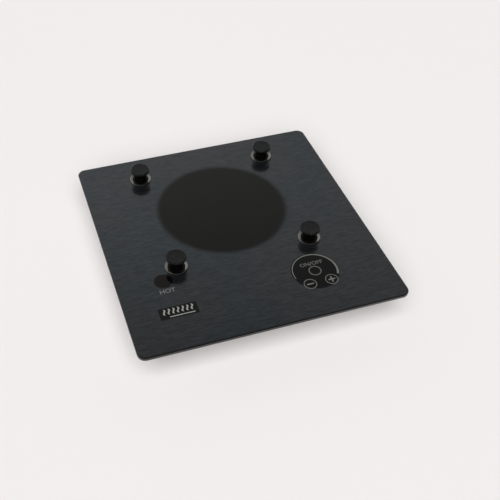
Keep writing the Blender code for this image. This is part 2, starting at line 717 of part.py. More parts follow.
def clamp(side, name):
    """A bracket that slides on the side wall, and a thumb screw that pushes a foot up at the worktop."""
    inner, outer = GAP, GAP + CLAMP_SHEET
    tip = CLAMP_SCREW_OUT + 6.5 * MM
    top = LOCK_SCREW_Z + 4.4 * MM
    leg_top = CLAMP_LEG_Z + CLAMP_SHEET
    angle = ((inner, CLAMP_LEG_Z), (tip, CLAMP_LEG_Z), (tip, leg_top), (outer, leg_top), (outer, top),
             (inner, top))  # fmt: skip
    outline = [(side * (PAN_HALF_WIDTH + out), z) for out, z in angle]
    y0, y1 = CLAMP_SCREW_Y - 8 * MM, LOCK_SCREW_Y + 7 * MM
    bracket = solid(f"clamp_bracket_{name}", "galvanised_steel", [profile_along_y(outline, y0, y1)])
    axis = (side * (PAN_HALF_WIDTH + CLAMP_SCREW_OUT), CLAMP_SCREW_Y)
    nut = [(5.2 * MM, leg_top - CLAMP_SHEET / 2), (5.2 * MM, leg_top + CLAMP_NUT_HEIGHT)]
    fuse(bracket, f"weld_nut_{name}", [turned(nut, 6, axis)])
    bore = CLAMP_SCREW_RADIUS + GAP
    through = [(bore, CLAMP_LEG_Z - 2 * MM), (bore, leg_top + CLAMP_NUT_HEIGHT + 2 * MM)]
    slot_half = LOCK_SCREW_RADIUS + GAP
    slot = box(
        *outward(side, -1 * MM, 4 * MM),
        LOCK_SCREW_Y - slot_half,
        LOCK_SCREW_Y + slot_half,
        LOCK_SCREW_Z - CLAMP_TRAVEL - slot_half,
        LOCK_SCREW_Z + slot_half,
    )
    cut(bracket, f"bracket_holes_{name}", [turned(through, SMALL_SIDES, axis), slot])

    # Each profile is (radius, height) in millimetres.
    screw = ((4.8, 1), (5.5, 1.7), (5.5, 6.3), (4.8, 7), (2.5, 7), (2.5, 24), (2, 24.5))
    foot = ((5.5, 20.9), (5.5, 25), (4.6, 26), (1, 26), (1, 25), (2.8, 24.8), (2.8, 20.9))
    quarter_turn = side * math.pi / 2
    lock = ((1.6, -7), (2, -6.4), (2, 0), (4.2, 0), (4.2, 1.2), (3.2, 2.2))

    def turn(role, finish, profile, ring=False, sides=SMALL_SIDES, **place):
        loops = turned([(r * MM, z * MM) for r, z in profile], sides)
        solid(f"{role}_{name}", finish, [loops], ring=ring, **place)

    turn("clamp_thumb_screw", "stainless_steel", screw, sides=POST_SIDES, location=(*axis, 0))
    turn("clamp_foot", "white_nylon", foot, ring=True, location=(*axis, 0))
    under_head = (side * (PAN_HALF_WIDTH + outer + GAP), LOCK_SCREW_Y, LOCK_SCREW_Z)
    turn("clamp_lock_screw", "stainless_steel", lock, location=under_head, rotation=(0, quarter_turn, 0))


def build():
    for existing in list(bpy.data.objects):
        bpy.data.objects.remove(existing)
    glass_plate()
    rim_gasket()
    for place in POST_PLACES:
        post(place)
    mounting_frame()
    chassis_pan()
    heat_shield()
    service_cover()
    cable_gland()
    element_dish()
    limiter()
    element_terminal_block()
    element_support()
    touch_controls()
    hot_indicator()
    power_electronics()
    supply_terminal_block()
    wiring()
    clamp(-1, "left")
    clamp(1, "right")


build()
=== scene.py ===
"""Looks of a drop-in single-burner hot plate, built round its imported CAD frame.

Everything is in metres in the CAD frame: +Z up, front towards -Y, z = 0 under the pan.
"""

import json
import math

import bmesh
import bpy
from mathutils import Matrix, Vector


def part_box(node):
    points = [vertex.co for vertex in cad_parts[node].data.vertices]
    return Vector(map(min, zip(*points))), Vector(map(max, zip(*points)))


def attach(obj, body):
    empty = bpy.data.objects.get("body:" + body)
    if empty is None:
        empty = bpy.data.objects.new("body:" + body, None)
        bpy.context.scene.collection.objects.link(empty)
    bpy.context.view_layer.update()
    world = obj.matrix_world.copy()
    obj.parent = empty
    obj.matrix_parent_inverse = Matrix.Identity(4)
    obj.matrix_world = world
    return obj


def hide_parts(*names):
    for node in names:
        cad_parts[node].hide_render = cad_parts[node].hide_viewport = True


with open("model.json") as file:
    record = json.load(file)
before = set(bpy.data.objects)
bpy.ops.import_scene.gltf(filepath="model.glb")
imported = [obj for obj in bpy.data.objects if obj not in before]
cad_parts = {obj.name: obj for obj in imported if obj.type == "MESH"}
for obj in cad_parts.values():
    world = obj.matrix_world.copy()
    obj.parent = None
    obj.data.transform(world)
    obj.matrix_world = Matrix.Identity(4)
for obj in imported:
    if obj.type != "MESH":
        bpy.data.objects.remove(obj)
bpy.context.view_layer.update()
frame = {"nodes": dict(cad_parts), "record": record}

MM = 0.001
POSTS = ("front_left", "front_right", "back_left", "back_right")
SIDES = {"left": -1, "right": 1}

# Places that come from the frame
GLASS_LOW, GLASS_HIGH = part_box("glass_plate")
PRINT_THICKNESS = 0.05 * MM  # the CAD glass is this much thicker at the burner mark
GLASS_TOP = GLASS_HIGH.z - PRINT_THICKNESS


def middle(node):
    low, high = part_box(node)
    return (low + high) / 2


PAN_LOW, PAN_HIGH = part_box("chassis_pan")
BURNER = (middle("element_dish").x, middle("element_dish").y)
HOT_WINDOW = (middle("hot_lamp").x, middle("hot_lamp").y)
PAD = (middle("touch_board").x, middle("touch_pad_power").y)
KEYS = {key: middle(f"touch_pad_{key}").to_2d() for key in ("power", "minus", "plus")}

# The glass and its marks
PLATE_CORNER = 9.5 * MM
BURNER_RADIUS = 77.5 * MM
BURNER_EDGE = 14 * MM  # width over which the burner mark fades out
WINDOW_RADIUS = 10.4 * MM
WINDOW_EDGE = 2.4 * MM
PAD_RADIUS = 27.2 * MM
PAD_EDGE = 0.8 * MM
BADGE_WAVES = 7
MARK_LOW = GLASS_TOP + 0.01 * MM  # marks stand just clear of the glass
MARK_TOP = GLASS_TOP + 0.045 * MM
BADGE_TOP = GLASS_TOP + 0.025 * MM
BADGE_PRINT_LOW = BADGE_TOP + 0.005 * MM

# Sheet metal
SHEET = 1 * MM
BEND = 2 * MM
PAN_CORNER = 6 * MM
SCREW_HOLE = 3.6 * MM
ENTRY = Vector((middle("cable_gland").x, middle("cable_gland").z))
COVER_SCREW_PLACES = [Vector((middle(f"cover_screw_{side}").x, ENTRY.y)) for side in SIDES]

# Clamps
LOCK_HOLE = 4.6 * MM
CLAMP_TRAVEL = 10 * MM
CLAMP_SHEET = 1.5 * MM
CLAMP_NUT_HEIGHT = 3 * MM

ROUND = 64  # segments of a turned piece
CORNER_STEPS = 14
SMOOTH_BELOW = math.radians(35)  # edges sharper than this stay crisp
SOFT_EDGE = 0.2 * MM  # rounding of the carried-over CAD nodes


# ---- Outlines ----


def arc(centre, radius, start, end, steps):
    """Points on an arc from start to end degrees, both ends included."""
    angles = (math.radians(start + (end - start) * i / steps) for i in range(steps + 1))
    return [Vector((centre[0] + radius * math.cos(a), centre[1] + radius * math.sin(a))) for a in angles]


def rounded_rectangle(low, high, radius, steps=CORNER_STEPS):
    """Outline between two corners, anticlockwise."""
    corners = (
        (high[0] - radius, high[1] - radius),
        (low[0] + radius, high[1] - radius),
        (low[0] + radius, low[1] + radius),
        (high[0] - radius, low[1] + radius),
    )
    points = []
    for quarter, corner in enumerate(corners):
        points += arc(corner, radius, 90 * quarter, 90 * quarter + 90, steps)
    return points


def soften(profile, steps=5):
    """Rounds the corners of a profile of (u, v, radius) points and returns (u, v) points."""
    points = []
    last = len(profile) - 1
    for i, (u, v, radius) in enumerate(profile):
        here = Vector((u, v))
        if radius == 0 or i in (0, last):
            points.append(here)
            continue
        before = Vector(profile[i - 1][:2]) - here
        after = Vector(profile[i + 1][:2]) - here
        turn = before.angle(after)
        reach = min(radius / math.tan(turn / 2), 0.49 * before.length, 0.49 * after.length)
        start = here + before.normalized() * reach
        end = here + after.normalized() * reach
        for step in range(steps + 1):
            t = step / steps
            points.append(start.lerp(here, t).lerp(here.lerp(end, t), t))
    return points


def closed_soften(profile, steps=5):
    """Rounds every corner of a closed profile of (u, v, radius) points."""
    looped = [profile[-1], *profile, profile[0]]
    return [p for i in range(1, len(looped) - 1) for p in soften(looped[i - 1 : i + 2], steps)[1:-1]]


# ---- Meshes ----


def smooth(data):
    """Smooth shading, with sharp edges kept."""
    data.shade_smooth()
    data.set_sharp_from_angle(angle=SMOOTH_BELOW)


def show(name, data):
    """Puts a mesh, curve, camera or lamp into the scene as an object."""
    made = bpy.data.objects.new(name, data)
    bpy.context.scene.collection.objects.link(made)
    return made


def finish_mesh(name, mesh, materials):
    """Turns a bmesh into a smooth-shaded object with outward faces."""
    bmesh.ops.remove_doubles(mesh, verts=mesh.verts, dist=1e-7)
    bmesh.ops.recalc_face_normals(mesh, faces=mesh.faces)
    data = bpy.data.meshes.new(name)
    mesh.to_mesh(data)
    mesh.free()
    for material in materials:
        data.materials.append(material)
    smooth(data)
    return show(name, data)


def lofted(name, loops, materials, ring=False):
    """Skins closed loops in order. A ring's last loop joins its first; otherwise both ends are closed."""
    mesh = bmesh.new()
    rows = [[mesh.verts.new(point) for point in loop] for loop in loops]
    for lower, upper in zip(rows, rows[1:] + rows[:1] if ring else rows[1:]):
        for i in range(len(lower)):
            j = (i + 1) % len(lower)
            mesh.faces.new((lower[i], lower[j], upper[j], upper[i]))
    if not ring:
        mesh.faces.new(rows[0][::-1])
        mesh.faces.new(rows[-1])
    return finish_mesh(name, mesh, materials)


def hexagon(angle, radius):
    """Radius at an angle of a hexagon whose corners are at radius."""
    return radius * math.cos(math.pi / 6) / math.cos(angle % (math.pi / 3) - math.pi / 6)


def ribs(angle, count, depth):
    """How far a ribbed surface dips at an angle."""
    return depth * abs(math.sin(count / 2 * angle))


def hexagon_beyond(limit):
    """Makes whatever is wider than limit hexagonal, for turned_loops."""
    return lambda angle, radius, z: hexagon(angle, radius) if radius > limit else radius


def turned_loops(profile, centre, segments=ROUND, shape=None):
    """Circles round a vertical axis for (radius, z) points. shape(angle, radius, z) changes a radius."""
    loops = []
    for radius, z in profile:
        loop = []
        for i in range(segments):
            angle = 2 * math.pi * i / segments
            r = shape(angle, radius, z) if shape else radius
            loop.append(Vector((centre[0] + r * math.cos(angle), centre[1] + r * math.sin(angle), z)))
        loops.append(loop)
    return loops


def turned(name, profile, centre, materials, ring=False, segments=ROUND, shape=None):
    """A piece turned round a vertical axis through centre."""
    return lofted(name, turned_loops(profile, centre, segments, shape), materials, ring)


def carve(target, cutters, operation="DIFFERENCE"):
    """Cuts the other shapes from the target, or joins them to it, and applies the result."""
    for cutter in cutters:
        modifier = target.modifiers.new("carve", "BOOLEAN")
        modifier.operation = operation
        modifier.solver = "EXACT"
        modifier.object = cutter
    graph = bpy.context.evaluated_depsgraph_get()
    carved = bpy.data.meshes.new_from_object(target.evaluated_get(graph))
    target.modifiers.clear()
    target.data = carved
    smooth(carved)
    for cutter in cutters:
        bpy.data.objects.remove(cutter)
    return target


AXIS_PLACES = {
    "x": lambda u, v, depth: Vector((depth, u, v)),
    "y": lambda u, v, depth: Vector((u, depth, v)),
    "z": lambda u, v, depth: Vector((u, v, depth)),
}


def extruded(name, outline, axis, start, end, materials=(), edge=0):
    """A prism along an axis on an outline across it, with its far edge chamfered by edge."""
    levels = [(0, start), (0, end)]
    if edge:
        levels = [(0, start), (0, end - math.copysign(edge, end - start)), (edge, end)]
    loops = []
    for inset, depth in levels:
        ring = inset_outline(outline, inset) if inset else outline
        loops.append([AXIS_PLACES[axis](p[0], p[1], depth) for p in ring])
    return lofted(name, loops, materials)


def inset_outline(outline, distance):
    """Moves each point of an anticlockwise outline inwards."""
    moved = []
    for i, point in enumerate(outline):
        before = (point - outline[i - 1]).normalized()
        after = (outline[(i + 1) % len(outline)] - point).normalized()
        inward = Vector((-(before + after).y, (before + after).x)).normalized()
        moved.append(point + inward * distance)
    return moved


def turn_to(obj, axis, place):
    """Turns an object made round +Z to point along axis, and puts its origin at place."""
    rotation = Vector((0, 0, 1)).rotation_difference(Vector(axis)).to_matrix().to_4x4()
    obj.data.transform(Matrix.Translation(place) @ rotation)


def stand_in(piece, body, *nodes):
    """The piece is shown in place of these CAD nodes and moves with the body."""
    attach(piece, body)
    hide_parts(*nodes)


# ---- Materials ----


class Nodes:
    """Short ways to add nodes to a tree."""

    def __init__(self, tree):
        self.tree = tree

    def feed(self, socket, value):
        """Links an output, or sets a plain value."""
        if isinstance(value, bpy.types.NodeSocket):
            self.tree.links.new(value, socket)
        else:
            socket.default_value = value

    def node(self, kind, inputs, output, **settings):
        made = self.tree.nodes.new(kind)
        for name, value in settings.items():
            setattr(made, name, value)
        for key, value in inputs.items():
            self.feed(made.inputs[key], value)
        return made.outputs[output]

    def maths(self, operation, a, b=0.0):
        return self.node("ShaderNodeMath", {0: a, 1: b}, 0, operation=operation)

    def remap(self, value, low, high, to_low=0.0, to_high=1.0):
        inputs = {"Value": value, "From Min": low, "From Max": high, "To Min": to_low, "To Max": to_high}
        return self.node("ShaderNodeMapRange", inputs, "Result", interpolation_type="SMOOTHSTEP")


class Finish(Nodes):
    """A Principled material and the texture nodes that feed it."""

    def __init__(self, name, **values):
        self.material = bpy.data.materials.new(name)
        self.material.use_nodes = True
        super().__init__(self.material.node_tree)
        self.shader = self.tree.nodes["Principled BSDF"]
        self.place = self.tree.nodes.new("ShaderNodeTexCoord").outputs["Object"]
        for socket, value in values.items():
            self.shader.inputs[socket.replace("_", " ")].default_value = value

    def stretched(self, scale):
        return self.node("ShaderNodeMapping", {"Vector": self.place, "Scale": scale}, "Vector")

    def noise(self, scale, detail=3.0, vector=None, roughness=0.5):
        place = vector or self.place
        inputs = {"Vector": place, "Scale": scale, "Detail": detail, "Roughness": roughness}
        return self.node("ShaderNodeTexNoise", inputs, "Fac")

    def cells(self, scale, output, randomness=1.0):
        inputs = {"Vector": self.place, "Scale": scale, "Randomness": randomness}
        return self.node("ShaderNodeTexVoronoi", inputs, output)

    def blend(self, factor, a, b):
        """A colour between a and b."""
        made = self.tree.nodes.new("ShaderNodeMix")
        made.data_type = "RGBA"
        self.feed(made.inputs["Factor"], factor)
        # The node has one set of sockets per data type; these are the colour ones.
        self.feed(made.inputs[6], a)
        self.feed(made.inputs[7], b)
        return made.outputs[2]

    def bump(self, height, depth):
        inputs = {"Height": height, "Strength": 1.0, "Distance": depth}
        normal = self.node("ShaderNodeBump", inputs, "Normal")
        self.feed(self.shader.inputs["Normal"], normal)

    def colour(self, value):
        self.feed(self.shader.inputs["Base Color"], value)

    def rough(self, value):
        self.feed(self.shader.inputs["Roughness"], value)

    def disc(self, centre, radius, fade):
        """1 inside a circle on the glass, fading to 0 across its edge."""
        offset = self.node(
            "ShaderNodeVectorMath",
            {0: self.place, 1: (centre[0], centre[1], GLASS_TOP)},
            "Value",
            operation="DISTANCE",
        )
        return self.remap(offset, radius - fade / 2, radius + fade / 2, 1.0, 0.0)


def rgb(red, green, blue):
    """A linear colour with full alpha."""
    return (red, green, blue, 1.0)


def glass_finish():
    """Clear glass over a dark brushed metallic print, with black burner, pad and window areas."""
    f = Finish("glass", Metallic=0.95, Roughness=0.26, Coat_Weight=1.0, Coat_Roughness=0.02, Coat_IOR=1.52)
    f.shader.inputs["Specular IOR Level"].default_value = 0.0
    streaks = f.noise(1.0, 3.0, f.stretched((90, 700, 700)), 0.6)
    hairs = f.noise(1.0, 2.0, f.stretched((150, 1900, 1900)), 0.6)
    clouds = f.noise(11, 3.0)
    tint = f.blend(f.remap(clouds, 0.35, 0.65), rgb(0.112, 0.136, 0.148), rgb(0.130, 0.136, 0.145))
    brushed = f.maths("ADD", f.maths("MULTIPLY", streaks, 0.6), f.maths("MULTIPLY", hairs, 0.4))
    contrast = f.remap(brushed, 0.3, 0.7, 0.62, 1.38)
    lit = f.node("ShaderNodeVectorMath", {0: tint, "Scale": contrast}, "Vector", operation="SCALE")
    grain = f.maths("MULTIPLY", f.maths("SUBTRACT", f.noise(900, 1.0), 0.5), 0.5)
    burner = f.disc(BURNER, BURNER_RADIUS, BURNER_EDGE)
    dithered = f.remap(f.maths("ADD", burner, grain), 0.05, 0.95)
    pad = f.disc(PAD, PAD_RADIUS, PAD_EDGE)
    printed = f.blend(dithered, lit, rgb(0.0140, 0.0130, 0.0100))
    printed = f.blend(pad, printed, rgb(0.0060, 0.0050, 0.0040))
    window = f.disc(HOT_WINDOW, WINDOW_RADIUS, WINDOW_EDGE)
    printed = f.blend(window, printed, rgb(0.022, 0.012, 0.011))
    height = f.node("ShaderNodeSeparateXYZ", {"Vector": f.place}, "Z")
    rim = f.remap(height, GLASS_TOP - 0.35 * MM, GLASS_TOP - 0.05 * MM, 1.0, 0.0)
    f.colour(f.blend(rim, printed, rgb(0.016, 0.012, 0.011)))
    return f.material


def silicone_finish():
    f = Finish("silicone", Roughness=0.36)
    f.shader.inputs["Specular IOR Level"].default_value = 0.5
    worn = f.remap(f.noise(260, 4.0), 0.45, 0.75)
    f.colour(f.blend(worn, rgb(0.0080, 0.0083, 0.0081), rgb(0.0150, 0.0156, 0.0150)))
    f.rough(f.remap(f.noise(1200, 3.0), 0.3, 0.7, 0.30, 0.44))
    f.bump(f.noise(2600, 3.0), 0.03 * MM)
    return f.material


def black_painted_shade_finish():
    """Smooth black rubber for the posts' necks, made near black as painted shade under the caps, darker
    than the caps' own silicone; also the collars' black floor, painted shade and painted reflection of the
    caps.
    """
    f = Finish("black_painted_shade", Roughness=0.18)
    f.shader.inputs["Specular IOR Level"].default_value = 0.3
    # Near-black colour: painted shade under the caps, on real black rubber.
    f.colour(f.blend(f.noise(420, 3.0), rgb(0.0012, 0.0012, 0.0012), rgb(0.0028, 0.0027, 0.0026)))
    f.rough(f.remap(f.noise(900, 3.0), 0.3, 0.7, 0.12, 0.3))
    return f.material


def chrome_finish():
    f = Finish("chrome", Metallic=1.0, Roughness=0.06)
    haze = f.noise(700, 3.0)
    f.colour(f.blend(haze, rgb(0.72, 0.69, 0.63), rgb(0.54, 0.52, 0.48)))
    f.rough(f.remap(f.noise(300, 4.0), 0.3, 0.75, 0.05, 0.16))
    return f.material


def steel_finish():
    """Turned stainless steel with fine rings across its axis."""
    f = Finish("stainless", Metallic=1.0, Roughness=0.28)
    rings = f.noise(1.0, 2.0, f.stretched((300, 300, 7000)))
    f.colour(f.blend(f.noise(500, 3.0), rgb(0.62, 0.61, 0.59), rgb(0.44, 0.435, 0.43)))
    f.rough(f.remap(rings, 0.3, 0.7, 0.2, 0.38))
    f.bump(rings, 0.012 * MM)
    return f.material


def zinc_finish():
    """Zinc-coated sheet: crystals of slightly different greys, with rolling lines."""
    f = Finish("galvanised", Metallic=1.0, Roughness=0.42)
    crystal = f.cells(210, "Color")
    split = f.node("ShaderNodeSeparateColor", {"Color": crystal}, "Red")
    rolled = f.noise(1.0, 3.0, f.stretched((25, 900, 900)))
    mix = f.maths("ADD", f.maths("MULTIPLY", split, 0.6), f.maths("MULTIPLY", rolled, 0.4))
    f.colour(f.blend(f.remap(mix, 0.2, 0.8), rgb(0.49, 0.50, 0.51), rgb(0.62, 0.63, 0.64)))
    f.rough(f.remap(f.maths("ADD", split, f.noise(1800, 2.0)), 0.4, 1.5, 0.37, 0.50))
    f.bump(f.noise(1500, 3.0), 0.02 * MM)
    return f.material


def foam_finish():
    f = Finish("seal_foam", Roughness=0.95)
    pores = f.cells(2400, "Distance")
    f.colour(f.blend(f.remap(pores, 0.1, 0.6), rgb(0.012, 0.012, 0.012), rgb(0.034, 0.034, 0.033)))
    f.bump(pores, 0.12 * MM)
    return f.material


def moulded_finish(name, dark, light, roughness, grain=0.04 * MM):
    """Moulded plastic with a fine spark-eroded grain."""
    f = Finish(name, Roughness=roughness)
    f.colour(f.blend(f.remap(f.noise(380, 4.0), 0.35, 0.7), rgb(*dark), rgb(*light)))
    f.rough(f.remap(f.noise(1500, 2.0), 0.3, 0.7, roughness - 0.07, roughness + 0.09))
    f.bump(f.cells(3200, "Distance"), grain)
    return f.material


def ceramic_finish(name, dark, light):
    """Fired ceramic or pressed fibre: matt, speckled and slightly rough."""
    f = Finish(name, Roughness=0.85)
    specks = f.noise(1400, 5.0, None, 0.7)
    f.colour(f.blend(f.remap(specks, 0.35, 0.65), rgb(*dark), rgb(*light)))
    f.bump(f.noise(900, 5.0), 0.1 * MM)
    return f.material


def heater_finish():
    """Resistance alloy, tinted in bands by heat."""
    f = Finish("heater_alloy", Metallic=1.0, Roughness=0.5)
    bands = f.remap(f.noise(60, 3.0), 0.35, 0.65)
    warm = f.blend(bands, rgb(0.19, 0.15, 0.14), rgb(0.30, 0.24, 0.20))
    f.colour(f.blend(f.remap(f.noise(900, 3.0), 0.55, 0.75), warm, rgb(0.10, 0.11, 0.14)))
    f.rough(f.remap(f.noise(700, 3.0), 0.3, 0.7, 0.4, 0.62))
    f.bump(f.noise(3000, 2.0), 0.02 * MM)
    return f.material


def board_finish():
    """Circuit board: solder resist over copper tracks, with bare pads."""
    f = Finish("circuit_board", Roughness=0.35, Coat_Weight=0.4, Coat_Roughness=0.12)
    tracks = f.node(
        "ShaderNodeTexBrick",
        {"Vector": f.place, "Scale": 210.0, "Mortar Size": 0.09, "Brick Width": 0.7, "Row Height": 0.35},
        "Fac",
    )
    base = f.blend(tracks, rgb(0.010, 0.085, 0.035), rgb(0.02, 0.17, 0.07))
    pads = f.remap(f.cells(240, "Distance", 0.35), 0.13, 0.17, 1.0, 0.0)
    f.colour(f.blend(pads, base, rgb(0.55, 0.52, 0.46)))
    f.rough(f.remap(f.noise(400, 3.0), 0.3, 0.7, 0.28, 0.42))
    f.bump(tracks, 0.03 * MM)
    return f.material


def aluminium_finish():
    """Extruded aluminium with die lines along its length."""
    f = Finish("aluminium", Metallic=1.0, Roughness=0.33)
    lines = f.noise(1.0, 3.0, f.stretched((4200, 40, 4200)))
    f.colour(f.blend(lines, rgb(0.70, 0.71, 0.72), rgb(0.84, 0.84, 0.85)))
    f.rough(f.remap(lines, 0.3, 0.7, 0.26, 0.42))
    f.bump(lines, 0.015 * MM)
    return f.material


def lens_finish():
    f = Finish("red_lens", Roughness=0.12, Coat_Weight=0.8, Coat_Roughness=0.05)
    f.colour(f.blend(f.noise(500, 2.0), rgb(0.42, 0.012, 0.008), rgb(0.56, 0.03, 0.018)))
    f.bump(f.cells(900, "Distance"), 0.02 * MM)
    return f.material


def ink_finish(name, dark, light, coat=0.8):
    """Screen-printed enamel: a faint grain where the ink is thin."""
    f = Finish(name, Roughness=0.45, Coat_Weight=coat, Coat_Roughness=0.03)
    thin = f.remap(f.noise(1100, 3.0), 0.4, 0.75)
    f.colour(f.blend(thin, rgb(*light), rgb(*dark)))
    f.rough(f.remap(f.noise(700, 2.0), 0.3, 0.7, 0.4, 0.5))
    return f.material


def floor_finish():
    f = Finish("floor", Roughness=0.9)
    f.colour(f.blend(f.noise(3, 2.0), rgb(0.865, 0.834, 0.825), rgb(0.875, 0.842, 0.833)))
    return f.material


GLASS = glass_finish()
SILICONE = silicone_finish()
BLACK_PAINTED_SHADE = black_painted_shade_finish()
CHROME = chrome_finish()
STEEL = steel_finish()
ZINC = zinc_finish()
FOAM = foam_finish()
BLACK_PLASTIC = moulded_finish("black_plastic", (0.010, 0.010, 0.011), (0.022, 0.022, 0.023), 0.48)
BLUE_PLASTIC = moulded_finish("blue_plastic", (0.02, 0.07, 0.26), (0.035, 0.11, 0.38), 0.32, 0.01 * MM)
NYLON = moulded_finish("nylon", (0.62, 0.60, 0.56), (0.74, 0.73, 0.70), 0.42)
SLEEVING = moulded_finish("grey_insulation", (0.19, 0.19, 0.20), (0.30, 0.30, 0.31), 0.5, 0.02 * MM)
PORCELAIN = ceramic_finish("white_ceramic", (0.66, 0.64, 0.58), (0.80, 0.78, 0.73))
INSULATION = ceramic_finish("insulation_board", (0.58, 0.55, 0.48), (0.78, 0.76, 0.71))
HEATER = heater_finish()
BOARD = board_finish()
ALUMINIUM = aluminium_finish()
LENS = lens_finish()
PALE_INK = ink_finish("pale_ink", (0.19, 0.19, 0.175), (0.33, 0.33, 0.305))
LIGHT_INK = ink_finish("light_ink", (0.10, 0.10, 0.092), (0.16, 0.16, 0.149))
GREY_INK = ink_finish("grey_ink", (0.066, 0.066, 0.061), (0.11, 0.11, 0.102))
BLACK_INK = ink_finish("black_ink", (0.0016, 0.0016, 0.0016), (0.003, 0.003, 0.003), coat=0.45)

SLOT_FINISHES = {
    "ceramic_glass": GLASS,
    "seal_foam": FOAM,
    "galvanised_steel": ZINC,
    "black_rubber": SILICONE,
    "chrome": CHROME,
    "stainless_steel": STEEL,
    "insulation_board": INSULATION,
    "heater_alloy": HEATER,
    "white_ceramic": PORCELAIN,
    "circuit_board": BOARD,
    "black_plastic": BLACK_PLASTIC,
    "blue_plastic": BLUE_PLASTIC,
    "aluminium": ALUMINIUM,
    "red_lens": LENS,
    "white_nylon": NYLON,
    "grey_insulation": SLEEVING,
}


def dress_frame():
    """Gives every carried-over CAD node its procedural finish and a small rounded edge."""
    finish_of = {row["node"]: row["material_slot"] for row in frame["record"]["subparts"]}
    for name, node in frame["nodes"].items():
        node.data.materials.clear()
        node.data.materials.append(SLOT_FINISHES[finish_of[name]])
        smooth(node.data)
        bevel = node.modifiers.new("soft_edges", "BEVEL")
        bevel.width = SOFT_EDGE
        bevel.segments = 2
        bevel.limit_method = "ANGLE"
        bevel.angle_limit = math.radians(50)


# ---- Glass top ----


def glass_top():
    """Plate with a ground and polished pencil edge and a hole for each post."""
    edge = soften(((2, 0, 0), (0, 0, 0.7), (0, 4, 1.3), (3, 4, 0)), 8)
    loops = []
    for inset, height in edge:
        inset *= MM
        low = (GLASS_LOW.x + inset, GLASS_LOW.y + inset)
        high = (GLASS_HIGH.x - inset, GLASS_HIGH.y - inset)
        outline = rounded_rectangle(low, high, PLATE_CORNER - inset)
        loops.append([Vector((p.x, p.y, GLASS_LOW.z + height * MM)) for p in outline])
    plate = lofted("glass_top", loops, [GLASS])
    hole = 5.6 * MM
    ends = [(hole, GLASS_LOW.z - 1 * MM), (hole, GLASS_TOP + 1 * MM)]
    holes = [turned(f"hole_{post}", ends, middle(f"post_socket_{post}"), []) for post in POSTS]
    stand_in(carve(plate, holes), "root", "glass_plate")


def mark(name, loops, ink, ring=False):
    """A thin printed shape on the glass."""
    piece = lofted(name, loops, [ink], ring)
    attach(piece, "root")


def flat_mark(name, outline, ink, low=MARK_LOW, high=MARK_TOP):
    """A mark with straight sides on an outline."""
    mark(name, [[Vector((p[0], p[1], z)) for p in outline] for z in (low, high)], ink)


def ring_mark(name, centre, outer, line):
    """A circle of the given line width inside the outer radius."""
    inner = outer - line
    profile = [(outer, MARK_LOW), (outer, MARK_TOP), (inner, MARK_TOP), (inner, MARK_LOW)]
    mark(name, turned_loops(profile, centre, 96), GREY_INK, ring=True)


def bar(centre, length, width):
    """Outline of a straight stroke along X."""
    low = (centre[0] - length / 2, centre[1] - width / 2)
    high = (centre[0] + length / 2, centre[1] + width / 2)
    return rounded_rectangle(low, high, 0.3 * MM, 4)


def crescent():
    """The level arc over the pad: thin at its left end and thick at its right end."""
    start, end = 192.0, -27.0  # degrees, from the left end over the top to the right end
    radius = 25.4 * MM
    steps = 72
    outer, inner = [], []
    for i in range(steps + 1):
        t = i / steps
        angle = math.radians(start + (end - start) * t)
        half = (0.45 + 0.75 * t**1.3) * MM
        out = Vector((math.cos(angle), math.sin(angle)))
        outer.append(Vector(PAD) + out * (radius + half))
        inner.append(Vector(PAD) + out * (radius - half))
    flat_mark("level_arc", inner + outer[::-1], LIGHT_INK)


def lettering(name, text, centre, height, ink):
    """Generic words in a plain sans face, as thin solid letters."""
    curve = bpy.data.curves.new(name, "FONT")
    curve.body = text
    curve.size = height / 0.7  # the capitals of the built-in face are about 0.7 of its size
    curve.align_x = "CENTER"
    curve.align_y = "CENTER"
    curve.offset = 0.12 * MM
    curve.extrude = (MARK_TOP - MARK_LOW) / 2
    text_object = show(name, curve)
    text_object.location = (centre[0], centre[1], (MARK_TOP + MARK_LOW) / 2)
    bpy.context.view_layer.update()
    graph = bpy.context.evaluated_depsgraph_get()
    data = bpy.data.meshes.new_from_object(text_object.evaluated_get(graph))
    data.transform(text_object.matrix_world)
    bpy.data.objects.remove(text_object)
    data.materials.clear()
    data.materials.append(ink)
    made = show(name, data)
    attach(made, "root")


def controls():
    """Level arc, power ring, words, and the minus and plus keys."""
    crescent()
    ring_mark("power_ring", KEYS["power"], 7.3 * MM, 1.25 * MM)
    lettering("on_off_words", "ON/OFF", (PAD[0], PAD[1] + 11.3 * MM), 5.2 * MM, GREY_INK)
    length, line = 8.2 * MM, 1.8 * MM
    for key in ("minus", "plus"):
        ring_mark(f"{key}_ring", KEYS[key], 7.5 * MM, 1.2 * MM)
        flat_mark(f"{key}_bar", bar(KEYS[key], length, line), LIGHT_INK)
    for name, side in (("upper", 1), ("lower", -1)):
        arm = (KEYS["plus"][0], KEYS["plus"][1] + side * 2.55 * MM)
        flat_mark(f"plus_{name}_arm", bar(arm, line, 3.1 * MM), LIGHT_INK)


def hot_word():
    """The word in front of the hot window."""
    place = (HOT_WINDOW[0] + 0.6 * MM, HOT_WINDOW[1] - 15.5 * MM)
    lettering("hot_word", "HOT", place, 5.8 * MM, LIGHT_INK)


def badge():
    """A plain pictogram: a row of rising heat waves over a hob."""
    centre = Vector((-95.9, -106)) * MM
    half = Vector((21.2, 8.1)) * MM
    backing = rounded_rectangle(centre - half, centre + half, 0.8 * MM, 5)
    flat_mark("badge", backing, BLACK_INK, MARK_LOW, BADGE_TOP)
    for i in range(BADGE_WAVES):
        across = (i - (BADGE_WAVES - 1) / 2) * 5.1 * MM
        wave(f"badge_wave_{i + 1}", centre + Vector((across, 2.2 * MM)))
    hob = bar(centre + Vector((3, -5.3)) * MM, 28 * MM, 1.2 * MM)
    flat_mark("badge_rule", hob, PALE_INK, BADGE_PRINT_LOW)


